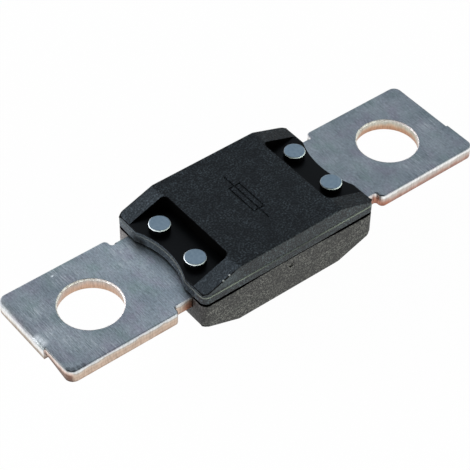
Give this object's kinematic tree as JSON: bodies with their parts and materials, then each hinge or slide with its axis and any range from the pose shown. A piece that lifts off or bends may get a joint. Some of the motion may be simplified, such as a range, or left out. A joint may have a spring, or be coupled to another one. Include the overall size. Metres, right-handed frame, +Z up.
{
  "type": "bolt-down strip fuse",
  "caption": "High-current bolt-down fuse: a flat tinned copper strip with a bolt hole at each end, riveted into a black two-part moulded housing.",
  "frame": {"origin": "middle of the strip, halfway between the two bolt holes, at half the strip's thickness and half the housing's height", "axes": "+X along the strip from the left bolt hole to the right one, +Y across the strip, +Z up out of the flat top with the engraved symbol"},
  "size_m": [0.0692, 0.0194, 0.01],
  "materials": {
    "housing_plastic": "fine spark-eroded grain",
    "tinned_copper": "dull tin plate with fine scratches, copper at the sheared edges",
    "tin": "satin",
    "rivet_steel": "bluish zinc plate, satin"
  },
  "bodies": {
    "root": {"lower_housing": "housing_plastic", "fuse_strip": "tinned_copper", "tin_spot": "tin", "upper_housing": "housing_plastic", "rivet_left_front": "rivet_steel", "rivet_left_back": "rivet_steel", "rivet_right_front": "rivet_steel", "rivet_right_back": "rivet_steel"}
  },
  "joints": []
}
